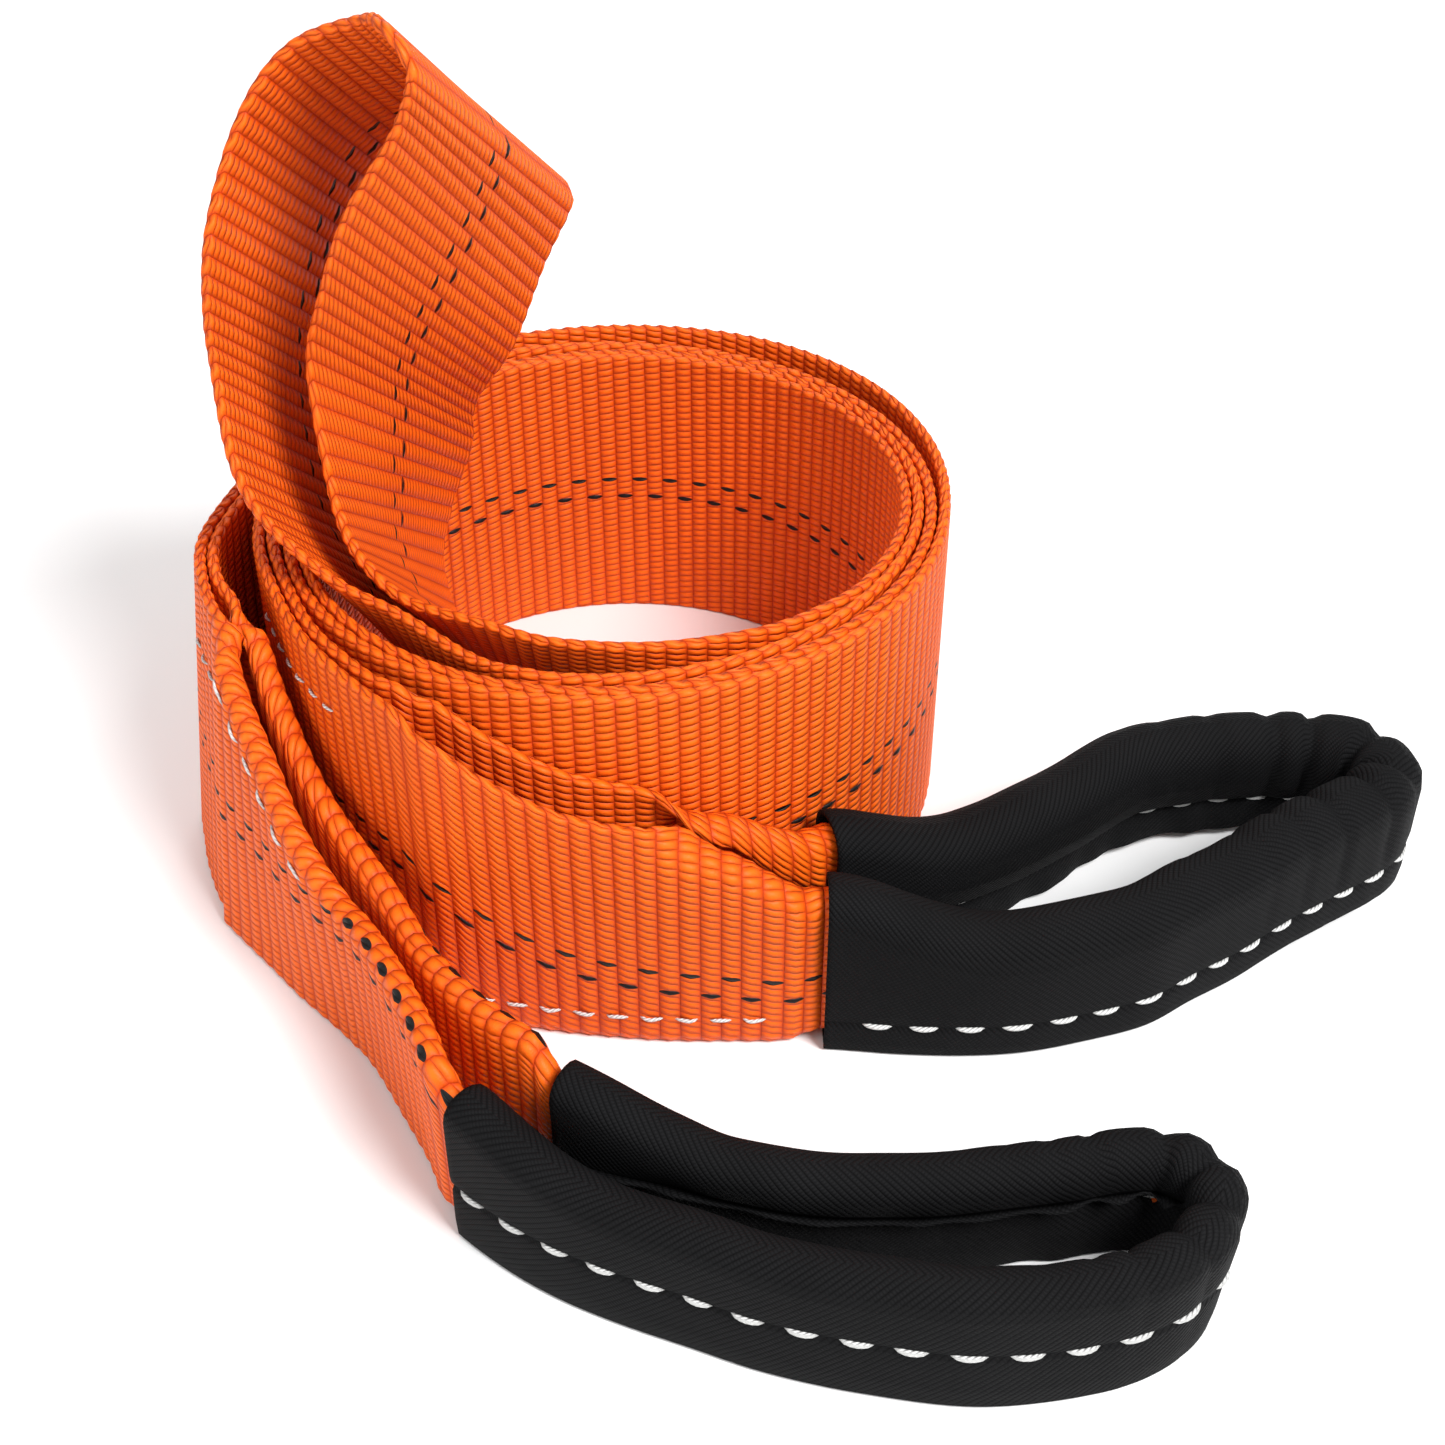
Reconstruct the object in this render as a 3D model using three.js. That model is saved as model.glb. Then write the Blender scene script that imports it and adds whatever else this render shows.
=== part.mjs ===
// A tow strap of flat polyester webbing, coiled on edge on the floor, with a sleeved eye at each end.
// Millimetres, +Z up. The webbing stands on its edge, so its width is vertical in the coil.
import * as THREE from 'three';

// Webbing
const webbingWidth = 75;
const webbingThickness = 2.5;
const layerGap = 0.5;
const layerPitch = webbingThickness + layerGap;

// Coil: the doubled strap makes two turns, so four layers lie side by side. Angles are in degrees.
const coilInnerRadius = 66;
const coilSquash = 0.95;
const coilStepAngle = 12;
const spiralStartAngle = 230;
const coilSpanA = { from: 320, to: 920 };
const coilSpanB = { from: 260, to: 896 };
const tailStartAngle = 848;

// Where layers swing out of the plain spiral and back, and where a strand leaves it for its eye
const turnOverSwell = { centre: 610, reach: 110, amount: 5.5 };
const innerSwellB = { centre: 250, reach: 90, amount: 4 };
const departureA = { from: 790, span: 80, amount: 6.5 };
const departuresB = [{ from: 705, span: 90, amount: 9 }, { from: 850, span: 50, amount: 1.5 }];

// Folding of the webbing into the eyes: while the flap of a station is below turningFlap, a strip of
// edgeStrip turns over, and past it the flap grows
const edgeStrip = 1.5;
const turningFlap = 4;
const turnPerStep = 30;
const sharpestMitre = 0.5;

// Sleeves
const sleeveWall = 1.1;
const sleeveClearance = 0.4;
const sleeveForms = {
  sleeve_a: { mouthHeight: 41, bodyHeight: 31, mouthDepth: 14, bodyDepth: 16 },
  sleeve_b: { mouthHeight: 36, bodyHeight: 30, mouthDepth: 10.5, bodyDepth: 13 },
};
const sleeveTaper = 34;
const sleeveSides = 16;
const sleeveSquareness = 5;

// Length of one step along the webbing outside the coil
const stepLength = 8;

const webbingMaterial = new THREE.MeshStandardMaterial({ color: 0xf05512, roughness: 0.6 });
const sleeveMaterial = new THREE.MeshStandardMaterial({ color: 0x111112, roughness: 0.85 });

const smooth = (value) => THREE.MathUtils.smoothstep(value, 0, 1);
const foldTurn = (flap) => Math.PI * smooth(flap / turningFlap);
const foldWidth = (flap) => edgeStrip + Math.max(0, flap - turningFlap);

// A station is [x, y, z of the lower edge, x and y lean of the upper edge, upper flap, lower flap].
// The upper edge stands on the lower one at the height that the webbing's width leaves it.
const station = (x, y, z, leanX = 0, leanY = 0, upperFlap = 0, lowerFlap = 0) =>
  [x, y, z, leanX, leanY, upperFlap, lowerFlap];
const flapPlaces = [5, 6];

// How far a layer swings out of the plain spiral at an angle
function swellAt(angle, { centre, reach, amount }) {
  const share = Math.min(Math.abs(angle - centre) / reach, 1);
  return amount * (1 + Math.cos(Math.PI * share)) / 2;
}

const departureAt = (angle, { from, span, amount }) => amount * smooth((angle - from) / span);

// Middle of a layer: strand A is the inner one of the pair
function coilRadius(isStrandB, angle) {
  const growth = 2 * layerPitch * (angle - spiralStartAngle) / 360;
  const spiral = coilInnerRadius + webbingThickness / 2 + growth + swellAt(angle, turnOverSwell);
  if (!isStrandB) return spiral + departureAt(angle, departureA);
  const departures = departuresB.reduce((sum, departure) => sum + departureAt(angle, departure), 0);
  return spiral + layerPitch + swellAt(angle, innerSwellB) + departures;
}

function coilStations(isStrandB, { from, to }) {
  const count = Math.round((to - from) / coilStepAngle);
  return Array.from({ length: count + 1 }, (_, index) => {
    const angle = from + (to - from) * index / count;
    const radius = coilRadius(isStrandB, angle);
    const turn = THREE.MathUtils.degToRad(angle);
    return station(radius * coilSquash * Math.cos(turn), radius * Math.sin(turn), 0);
  });
}

// The bight, the doubled middle of the strap, from the innermost layer up over the loop and down
const bight = [
  station(31, -50, 1, 2, -8), station(9, -44, 5, 2, -22), station(-10, -29, 11, 0, -36),
  station(-23.5, -12, 18, -3, -46), station(-35, 4, 25, -6, -54), station(-43, 16, 32, -8, -57),
  station(-46.5, 26, 42, -10, -60), station(-43.5, 31, 55, -16, -60), station(-37, 29, 72, -24, -54),
  station(-34, 24, 86, -22, -53), station(-24, 16, 103, -24, -50), station(-16, 15, 123, -20, -53),
  station(-9, 14, 139, -23, -55), station(-15, 20, 142, -23, -53), station(-21, 31, 139, -23, -53),
  station(-34, 38, 133, -23, -53), station(-43, 38, 125, -23, -53), station(-50, 34, 113, -23, -53),
  station(-54, 26, 100, -23, -53), station(-57, 26, 83, -23, -53), station(-58.3, 25, 66, -22, -52),
  station(-55, 18, 49, -22.5, -51), station(-46.8, 8.5, 36, -23.5, -48), station(-38.5, -6.5, 20, -18, -41),
  station(-31.5, -24.5, 10, -11, -31), station(-17, -50, 3, -8, -19),
];

// Eye A: back leg, loop and front leg
const backLegA = [
  station(-50, -70, 0), station(-42, -77.5, 0, 0, 0, 0, 1), station(-34, -82, 0, 0, 0, 0, 4),
  station(-24, -85.5, 0, 0, 0, 0, 9.5), station(-8, -88.5, 0, 0, 0, 0, 16.5),
  station(8, -88, 0, 0, 0, 0.5, 20.5), station(16, -87, 0, 0, 0, 2, 20.5),
  station(25, -85, 0, 0, 0, 4, 21.5), station(35, -82, 0, 0, 0, 9, 22.5),
];
const loopA = [
  station(45, -77, 0, 0, 0, 13.5, 23.5), station(56, -74, 0, 0, 0, 15.5, 23.5),
  station(68, -69, 0, 0, 0, 19.5, 22.5), station(85, -60, 0, 0, 0, 23.5, 22.5),
  station(101, -49, 1, 0, 0, 23.5, 22.5), station(116, -38, 2, 0, 0, 23.5, 22.5),
  station(131, -33, 2, 0, 0, 23.5, 22.5), station(146, -30.5, 2, 0, 0, 23.5, 22.5),
  station(158, -31, 2, 0, 0, 23.5, 22.5), station(168.5, -35, 3, 0, 0, 23.5, 22.5),
  station(173.5, -44, 3, 0, 0, 23.5, 22.5), station(168.5, -53, 4, 0, 0, 23.5, 22.5),
  station(157, -61, 4, 0, 0, 23.5, 22.5), station(143, -69.5, 3, 0, 0, 23.5, 22.5),
  station(131, -77, 1, 0, 0, 23.5, 22.5), station(120, -84, 1, 0, 0, 23.5, 22.5),
  station(110, -90, 0, 0, 0, 23.5, 22.5), station(98, -94, 0, 0, 0, 23.5, 22.5),
  station(86, -97, 0, 0, 0, 22.5, 22.5), station(74, -98, 0, 0, 0, 19.5, 22.5),
  station(60, -98, 0, 0, 0, 15.5, 23.5), station(45, -97, 0, 0, 0, 13.5, 23.5),
];
const frontLegA = [
  station(35, -98, 0, 0, 0, 9, 22.5), station(26, -98, 0, 0, 0, 4, 21.5),
  station(17, -98, 0, 0, 0, 2, 20.5), station(8, -97.5, 0, 0, 0, 0.5, 19.5),
  station(-8, -95.5, 0, 0, 0, 0, 16.5), station(-22, -92.5, 0, 0, 0, 0, 10.5),
  station(-32, -89.5, 0, 0, 0, 0, 4), station(-41, -84.5, 0, 0, 0, 0, 1), station(-53, -72, 0),
  station(-65, -55, 0),
];

// Eye B: left leg, loop and right leg
const leftLegB = [
  station(-100, -18, 0, 9, 0), station(-97, -37, 0, 9, 2), station(-91, -53, 0, 9, 3, 0.5),
  station(-86, -60, 0, 8, 3, 2.5), station(-80, -67, 0, 6, 2, 11), station(-71, -77, 0, 3, 2, 19.5),
  station(-64, -85, 0, 1, 1, 26.5), station(-57, -92, 0, 0, 0, 32.5), station(-50.5, -99, 0, 0, 0, 37.5),
  station(-44, -108, 0, 0, 0, 38.5), station(-36.5, -121, 0, 0, 0, 38.5),
  station(-29.5, -133.5, 0, -1, 0, 38.5), station(-26, -142, 0, -1, 0, 38.5),
];
const loopB = [
  station(-22.5, -148.5, 0, 0, 0, 38.5), station(-11.5, -157, 0, 0, 0, 38.5),
  station(5, -165.5, 0, 0, 0, 38.5), station(21, -172, 0, 0, 0, 38.5), station(34, -177, 0, 0, 0, 38.5),
  station(50, -181, 0, 0, 0, 38.5), station(69, -183.5, 0, 0, 0, 38.5), station(88, -181, 0, 1, 0, 38.5),
  station(99, -176.5, 0, 3, 0, 38.5), station(106, -170, 0, 4, 2, 38.5), station(108, -163, 0, 4, 3, 38.5),
  station(104.5, -157.5, 0, 2, 3, 38.5), station(97, -155.5, 0, 0, 1, 38.5),
  station(85, -157.5, 0, 0, 0, 38.5), station(61, -160.5, 0, 0, 0, 38.5),
  station(41, -160.5, 0, 0, 0, 38.5), station(25, -157, 0, 0, 0, 38.5), station(14, -152.5, 0, 0, 0, 38.5),
  station(3, -147.5, 0, 0, 0, 38.5), station(-5, -143, 0, 0, 0, 38.5),
];
const rightLegB = [
  station(-11.5, -139, 0, 0, 0, 38.5), station(-19.5, -132.5, 0, 0, 0, 38.5),
  station(-25.5, -126.5, 0, 0, 0, 38.5), station(-31.3, -119.5, 0, 0, 0, 38.5),
  station(-36, -112.5, 0, 0, 0, 38), station(-40.3, -105, 0, 0, 0, 37), station(-45, -97.5, 0, 0, 0, 35),
  station(-51.3, -89, 0, 0, 0, 32.5), station(-58.5, -80, 0, 0, 0, 28.5),
  station(-65.5, -72.5, 0, 1, 1, 22), station(-75, -63, 0, 4, 2, 11), station(-82.5, -55, 0, 7, 3, 2.5),
  station(-88, -49, 0, 9, 4, 0.5),
];

function unitStep(from, to) {
  const length = Math.hypot(to[0] - from[0], to[1] - from[1]);
  return [(to[0] - from[0]) / length, (to[1] - from[1]) / length];
}

// The route that lies beside another one, towards the inside of the coil
function beside(chosen, distance) {
  return chosen.map((point, index) => {
    const back = chosen[Math.max(index - 1, 0)];
    const next = chosen[Math.min(index + 1, chosen.length - 1)];
    const [stepX, stepY] = unitStep(back, next);
    const [x, y, ...rest] = point;
    return [x - distance * stepY, y + distance * stepX, ...rest];
  });
}

// A value on the smooth curve from b to c, whose neighbours are a and d
function onCurve(a, b, c, d, share) {
  const bend = 2 * a - 5 * b + 4 * c - d;
  const twist = 3 * b - a - 3 * c + d;
  return (2 * b + (c - a) * share + bend * share * share + twist * share * share * share) / 2;
}

// Steps between two chosen stations: one within the coil, and more where the way is long or a fold turns
function stepsBetween(start, end) {
  if (start.run.whole && end.run.whole) return 1;
  const reach = Math.hypot(...[0, 1, 2].map((place) => end.point[place] - start.point[place]));
  const turns = flapPlaces.map((place) => foldTurn(end.point[place]) - foldTurn(start.point[place]));
  const turnSteps = Math.ceil(THREE.MathUtils.radToDeg(Math.max(...turns.map(Math.abs))) / turnPerStep);
  return Math.max(1, Math.round(reach / stepLength), turnSteps);
}

// A smooth row of stations through the chosen ones
function alongRoute(chosen) {
  const at = (index) => chosen[THREE.MathUtils.clamp(index, 0, chosen.length - 1)];
  return chosen.flatMap((start, index) => {
    const end = at(index + 1);
    const count = stepsBetween(start, end);
    return Array.from({ length: count }, (_, step) => ({
      values: start.point.map((value, place) => onCurve(
        at(index - 1).point[place], value, end.point[place], at(index + 2).point[place], step / count)),
      from: start.run,
      to: step === 0 ? start.run : end.run,
    }));
  });
}

// The webbing's own line across its width: [height above the lower edge, depth into the eye].
// The lower flap is turned in first, and the upper one then lies over both layers.
function sectionLine(upperFlap, lowerFlap) {
  const upper = foldWidth(upperFlap);
  const lower = foldWidth(lowerFlap);
  const upperTurn = foldTurn(upperFlap);
  const lowerTurn = foldTurn(lowerFlap);
  const upperBend = layerPitch * (1 + lowerTurn / Math.PI);
  const lowerBend = layerPitch;
  const face = webbingWidth - upper - lower - upperBend - lowerBend;
  const walk = (from, length, angle, sign) =>
    [from[0] + sign * length * Math.cos(angle), from[1] + length * Math.sin(angle)];
  const faceTop = [face / 2, 0];
  const faceFoot = [-face / 2, 0];
  const upperCorner = walk(faceTop, upperBend, upperTurn / 2, 1);
  const upperEnd = walk(upperCorner, upper, upperTurn, 1);
  const lowerCorner = walk(faceFoot, lowerBend, lowerTurn / 2, -1);
  const lowerEnd = walk(lowerCorner, lower, lowerTurn, -1);
  const line = [upperEnd, upperCorner, faceTop, [0, 0], faceFoot, lowerCorner, lowerEnd];
  const foot = Math.min(...line.map((point) => point[0]));
  const folded = Math.max(upperTurn, lowerTurn) / Math.PI;
  return line.map((point) => [point[0] - foot, point[1] - folded * layerPitch]);
}

// The closed outline around a line, with its corners mitred
function thicken(line, thickness) {
  const last = line.length - 1;
  const offset = line.map((point, index) => {
    const into = index > 0 ? unitStep(line[index - 1], point) : unitStep(point, line[1]);
    const out = index < last ? unitStep(point, line[index + 1]) : into;
    const sum = [into[0] + out[0], into[1] + out[1]];
    const length = Math.hypot(...sum);
    const mitre = Math.max((sum[0] * into[0] + sum[1] * into[1]) / length, sharpestMitre);
    return [sum[1] / length / mitre * thickness / 2, -sum[0] / length / mitre * thickness / 2];
  });
  const front = line.map((point, index) => [point[0] + offset[index][0], point[1] + offset[index][1]]);
  const back = line.map((point, index) => [point[0] - offset[index][0], point[1] - offset[index][1]]);
  return [...front, ...back.reverse()];
}

// Frames along the rows: the foot, the direction up the webbing and the direction across it. The eyes'
// insides lie on opposite sides of it before and after the top of the bight.
function framesAlong(rows) {
  const heights = rows.map((row) => row.values[2]);
  const topRow = heights.indexOf(Math.max(...heights));
  return rows.map((row, index) => {
    const [x, y, z, leanX, leanY, upperFlap, lowerFlap] = row.values;
    const back = rows[Math.max(index - 1, 0)].values;
    const next = rows[Math.min(index + 1, rows.length - 1)].values;
    const line = sectionLine(upperFlap, lowerFlap);
    const height = Math.max(...line.map((point) => point[0]));
    const rise = Math.sqrt(height * height - leanX * leanX - leanY * leanY);
    const up = new THREE.Vector3(leanX, leanY, rise).normalize();
    const along = new THREE.Vector3(
      next[0] - back[0] + (next[3] - back[3]) / 2,
      next[1] - back[1] + (next[4] - back[4]) / 2,
      next[2] - back[2]).normalize();
    const across = new THREE.Vector3().crossVectors(along, up).normalize();
    const foot = new THREE.Vector3(x, y, Math.max(z, 0));
    return { foot, up, across, line, side: index < topRow ? 1 : -1 };
  });
}

// A ring of the solid, slid along its own height until its lowest point lies where the route gives it
function placeRing(frame, section, lift) {
  const ring = section.map(([up, depth]) => frame.foot.clone()
    .addScaledVector(frame.up, up).addScaledVector(frame.across, depth));
  const rise = frame.foot.z + lift - Math.min(...ring.map((point) => point.z));
  return ring.map((point) => point.addScaledVector(frame.up, rise / frame.up.z));
}

function geometryFrom(points, index) {
  const geometry = new THREE.BufferGeometry();
  const positions = points.flatMap((point) => [point.x, point.y, point.z]);
  geometry.setAttribute('position', new THREE.Float32BufferAttribute(positions, 3));
  geometry.setIndex(index);
  return geometry;
}

// Faces of the wall between two neighbouring rings, whose points start at the given places
function wallBetween(first, second, around) {
  return Array.from({ length: around }, (_, place) => {
    const next = (place + 1) % around;
    return [first + place, first + next, second + place, first + next, second + next, second + place];
  }).flat();
}

// A solid through rings whose two halves face each other, closed by a flat cap at each end
function solidThrough(rings) {
  const around = rings[0].length;
  const walls = rings.slice(1).flatMap((_, row) => wallBetween(row * around, (row + 1) * around, around));
  const end = (rings.length - 1) * around;
  const caps = Array.from({ length: around / 2 - 1 }, (_, place) => {
    const far = around - 1 - place;
    return [
      place, far, place + 1, place + 1, far, far - 1,
      end + place, end + place + 1, end + far, end + place + 1, end + far - 1, end + far,
    ];
  }).flat();
  return geometryFrom(rings.flat(), [...walls, ...caps]);
}

// A tube with a wall between its outer and inner rings and with open mouths
function tubeThrough(outer, inner) {
  const around = outer[0].length;
  const inside = outer.length * around;
  const last = inside - around;
  const walls = outer.slice(1).flatMap((_, row) => [
    ...wallBetween(row * around, (row + 1) * around, around),
    ...wallBetween(inside + (row + 1) * around, inside + row * around, around),
  ]);
  const mouths = [...wallBetween(inside, 0, around), ...wallBetween(last, inside + last, around)];
  return geometryFrom([...outer, ...inner].flat(), [...walls, ...mouths]);
}

// The sleeve's height and depth at a distance from its nearer mouth
function sleeveSize(name, distance) {
  const { mouthHeight, bodyHeight, mouthDepth, bodyDepth } = sleeveForms[name];
  const share = smooth(distance / sleeveTaper);
  return {
    height: THREE.MathUtils.lerp(mouthHeight, bodyHeight, share),
    depth: THREE.MathUtils.lerp(mouthDepth, bodyDepth, share),
  };
}

function sleeveSection(height, depth) {
  const rounded = (value) => Math.sign(value) * Math.abs(value) ** (2 / sleeveSquareness);
  return Array.from({ length: sleeveSides }, (_, place) => {
    const angle = 2 * Math.PI * place / sleeveSides;
    return [height / 2 * rounded(Math.cos(angle)), depth / 2 * rounded(Math.sin(angle))];
  });
}

// Height inside the sleeve that is free beside the outermost layer of a stack
function roomInside(size, stackDepth) {
  const halfDepth = size.depth / 2 - sleeveWall;
  const share = (1 - (stackDepth / halfDepth) ** sleeveSquareness) ** (1 / sleeveSquareness);
  return 2 * ((size.height / 2 - sleeveWall) * share - sleeveClearance) - webbingThickness;
}

// In its sleeve the folded webbing stands in the middle and is squeezed to the height that is free there
function fitToSleeve(line, sleeve) {
  const height = Math.max(...line.map((point) => point[0]));
  const depths = line.map((point) => point[1]);
  const middle = (Math.max(...depths) + Math.min(...depths)) / 2;
  const stackDepth = Math.max(...depths) - middle + webbingThickness / 2;
  const squeeze = Math.min(1, roomInside(sleeve, stackDepth) / height);
  return {
    line: line.map(([up, depth]) => [up * squeeze, depth - middle]),
    lift: (sleeve.height - squeeze * height - webbingThickness) / 2,
  };
}

function webbingRing(frame) {
  const fit = frame.sleeve ? fitToSleeve(frame.line, frame.sleeve) : { line: frame.line, lift: 0 };
  const line = fit.line.map(([up, depth]) => [up, frame.side * depth]);
  return placeRing(frame, thicken(line, webbingThickness), fit.lift);
}

// Runs of the webbing, from eye A's tail through the coil and the bight to eye B's tail. A whole run's
// stations are used as they are.
const tailA = [...coilStations(false, { ...coilSpanA, from: tailStartAngle }), frontLegA.at(-1)];
const tailB = [...coilStations(true, { ...coilSpanB, from: tailStartAngle }), ...leftLegB.slice(0, 2)];
const runs = [
  { route: beside(tailA, layerPitch), whole: true },
  { route: backLegA },
  { route: loopA, sleeve: 'sleeve_a' },
  { route: frontLegA },
  { route: coilStations(false, coilSpanA).reverse(), whole: true },
  { route: bight },
  { route: coilStations(true, coilSpanB), whole: true },
  { route: leftLegB },
  { route: loopB, sleeve: 'sleeve_b' },
  { route: rightLegB },
  { route: beside(tailB, layerPitch).reverse(), whole: true },
];
const rows = alongRoute(runs.flatMap((run) => run.route.map((point) => ({ point, run }))));
const frames = framesAlong(rows);

function makeSleeve(run) {
  const own = frames.filter((_, index) => rows[index].from === run && rows[index].to === run);
  const distances = own.map(() => 0);
  for (let index = 1; index < own.length; index += 1) {
    distances[index] = distances[index - 1] + own[index].foot.distanceTo(own[index - 1].foot);
  }
  const total = distances.at(-1);
  own.forEach((frame, index) => {
    frame.sleeve = sleeveSize(run.sleeve, Math.min(distances[index], total - distances[index]));
  });
  const ringsAt = (inset) => own.map((frame) => placeRing(
    frame, sleeveSection(frame.sleeve.height - 2 * inset, frame.sleeve.depth - 2 * inset), inset));
  const sleeve = new THREE.Mesh(tubeThrough(ringsAt(0), ringsAt(sleeveWall)), sleeveMaterial);
  sleeve.name = run.sleeve;
  return sleeve;
}

const sleeves = runs.filter((run) => run.sleeve).map(makeSleeve);
const webbing = new THREE.Mesh(solidThrough(frames.map(webbingRing)), webbingMaterial);
webbing.name = 'webbing';

// The origin is at the bottom centre of the whole strap's box
const group = new THREE.Group();
group.add(webbing, ...sleeves);
const box = new THREE.Box3().setFromObject(group);
group.position.set(-(box.min.x + box.max.x) / 2, -(box.min.y + box.max.y) / 2, -box.min.z);
export default group;
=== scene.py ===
import math

import bpy
import numpy as np
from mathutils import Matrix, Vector


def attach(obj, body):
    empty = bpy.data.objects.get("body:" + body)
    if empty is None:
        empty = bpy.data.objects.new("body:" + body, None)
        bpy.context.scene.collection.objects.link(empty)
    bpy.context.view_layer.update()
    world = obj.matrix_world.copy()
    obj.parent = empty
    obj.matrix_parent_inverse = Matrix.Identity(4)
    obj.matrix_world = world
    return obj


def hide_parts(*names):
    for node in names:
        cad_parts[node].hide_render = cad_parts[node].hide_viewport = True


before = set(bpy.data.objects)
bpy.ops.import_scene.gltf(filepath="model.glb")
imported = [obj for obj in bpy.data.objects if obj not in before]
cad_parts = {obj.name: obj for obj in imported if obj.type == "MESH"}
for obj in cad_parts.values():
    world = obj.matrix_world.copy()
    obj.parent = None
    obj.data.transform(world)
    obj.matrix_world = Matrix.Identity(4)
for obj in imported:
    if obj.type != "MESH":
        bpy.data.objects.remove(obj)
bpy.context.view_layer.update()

mm = 0.001

# moves the route, so that the strap's box is centred on the origin, in mm
routeShift = np.array([-40.141, 49.9273, 0.0])


def smooth(value):
    value = np.clip(value, 0.0, 1.0)
    return value * value * (3.0 - 2.0 * value)


def unit(vectors):
    return vectors / np.linalg.norm(vectors, axis=-1, keepdims=True)


# soft, repeatable unevenness along a length, from -1 to 1
def drift(distance, wavelength, seed):
    turn = 2.0 * np.pi * distance / wavelength
    waves = [np.sin(turn * step + seed * (3.1 + step)) / step for step in (1.0, 1.73, 2.61)]
    return sum(waves) / 1.96


def ringWalls(rowCount, around, first=0, flipped=False):
    row, place = np.meshgrid(np.arange(rowCount - 1), np.arange(around), indexing="ij")
    here = first + row * around + place
    beside = first + row * around + (place + 1) % around
    quads = np.stack([here, beside, beside + around, here + around], axis=-1).reshape(-1, 4)
    return quads[:, ::-1] if flipped else quads


# the signed volume inside closed faces, which is negative when they point inwards
def signedVolume(points, faces):
    total = 0.0
    for face in (faces if isinstance(faces, list) else [faces]):
        for last in range(2, face.shape[1]):
            a, b, c = points[face[:, 0]], points[face[:, last - 1]], points[face[:, last]]
            total += np.einsum("ij,ij->i", a, np.cross(b, c)).sum() / 6.0
    return total


def makePiece(name, points, faceSets, uv, material):
    if signedVolume(points, faceSets) < 0:
        faceSets = [face[:, ::-1] for face in faceSets]
    faces = [tuple(int(corner) for corner in face) for faceSet in faceSets for face in faceSet]
    mesh = bpy.data.meshes.new(name)
    mesh.from_pydata((points * mm).tolist(), [], faces)
    layer = mesh.uv_layers.new(name="cloth")
    corners = np.zeros(len(mesh.loops), np.int32)
    mesh.loops.foreach_get("vertex_index", corners)
    layer.data.foreach_set("uv", (uv[corners] * mm).astype(np.float32).ravel())
    mesh.polygons.foreach_set("use_smooth", np.ones(len(mesh.polygons), bool))
    mesh.materials.append(material)
    mesh.update()
    piece = bpy.data.objects.new(name, mesh)
    bpy.context.scene.collection.objects.link(piece)
    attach(piece, "root")
    return piece


strap = {
    "width": 75.0,
    "thickness": 2.5,
    "layerPitch": 3.0,       # from one layer of a fold to the next
    "routeSplits": 16,       # steps from one chosen station to the next
    "rowStep": 1.383,        # a third of a rib
    "ribPitch": 4.15,
    "ribHeight": 0.1,        # of a rib's crest over the plain thickness
    "grooveDepth": 0.22,     # between two ribs, under the plain thickness
    "edgeStand": 0.5,        # of the selvedge past the last faces
    "edgeScallop": 0.4,
    "edgeStrip": 1.5,        # of webbing past the bend where nothing is folded yet
    "turningFlap": 4.0,      # the flap's width at which it lies flat
    "tracerDrop": 4.0,       # of the tracers on the second eye's legs
}

coil = {
    "innerRadius": 66.0,
    "squash": 0.95,
    "stepAngle": 12.0,
    "startAngle": 230.0,
    "spanA": (320.0, 920.0),
    "spanB": (260.0, 896.0),
    "tailStart": 848.0,
    "turnOverSwell": (610.0, 110.0, 5.5),
    "innerSwellB": (250.0, 90.0, 4.0),
    "departureA": (790.0, 80.0, 6.5),
    "departuresB": ((705.0, 90.0, 9.0), (850.0, 50.0, 1.5)),
}


def swellAt(angle, swell):
    centre, reach, amount = swell
    share = min(abs(angle - centre) / reach, 1.0)
    return amount * (1.0 + math.cos(math.pi * share)) / 2.0


def departureAt(angle, departure):
    start, span, amount = departure
    return amount * float(smooth((angle - start) / span))


def coilRadius(isStrandB, angle):
    growth = 2.0 * strap["layerPitch"] * (angle - coil["startAngle"]) / 360.0
    spiral = coil["innerRadius"] + strap["thickness"] / 2.0 + growth
    spiral += swellAt(angle, coil["turnOverSwell"])
    if not isStrandB:
        return spiral + departureAt(angle, coil["departureA"])
    departures = sum(departureAt(angle, departure) for departure in coil["departuresB"])
    return spiral + strap["layerPitch"] + swellAt(angle, coil["innerSwellB"]) + departures


# a station is x, y, z of the lower edge, x and y lean of the upper edge, upper flap, lower flap
def stations(*rows):
    return [tuple(row) + (0.0,) * (7 - len(row)) for row in rows]


def coilStations(isStrandB, span):
    count = round((span[1] - span[0]) / coil["stepAngle"])
    rows = []
    for index in range(count + 1):
        angle = span[0] + (span[1] - span[0]) * index / count
        radius = coilRadius(isStrandB, angle)
        turn = math.radians(angle)
        rows.append((radius * coil["squash"] * math.cos(turn), radius * math.sin(turn), 0.0))
    return stations(*rows)


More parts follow.
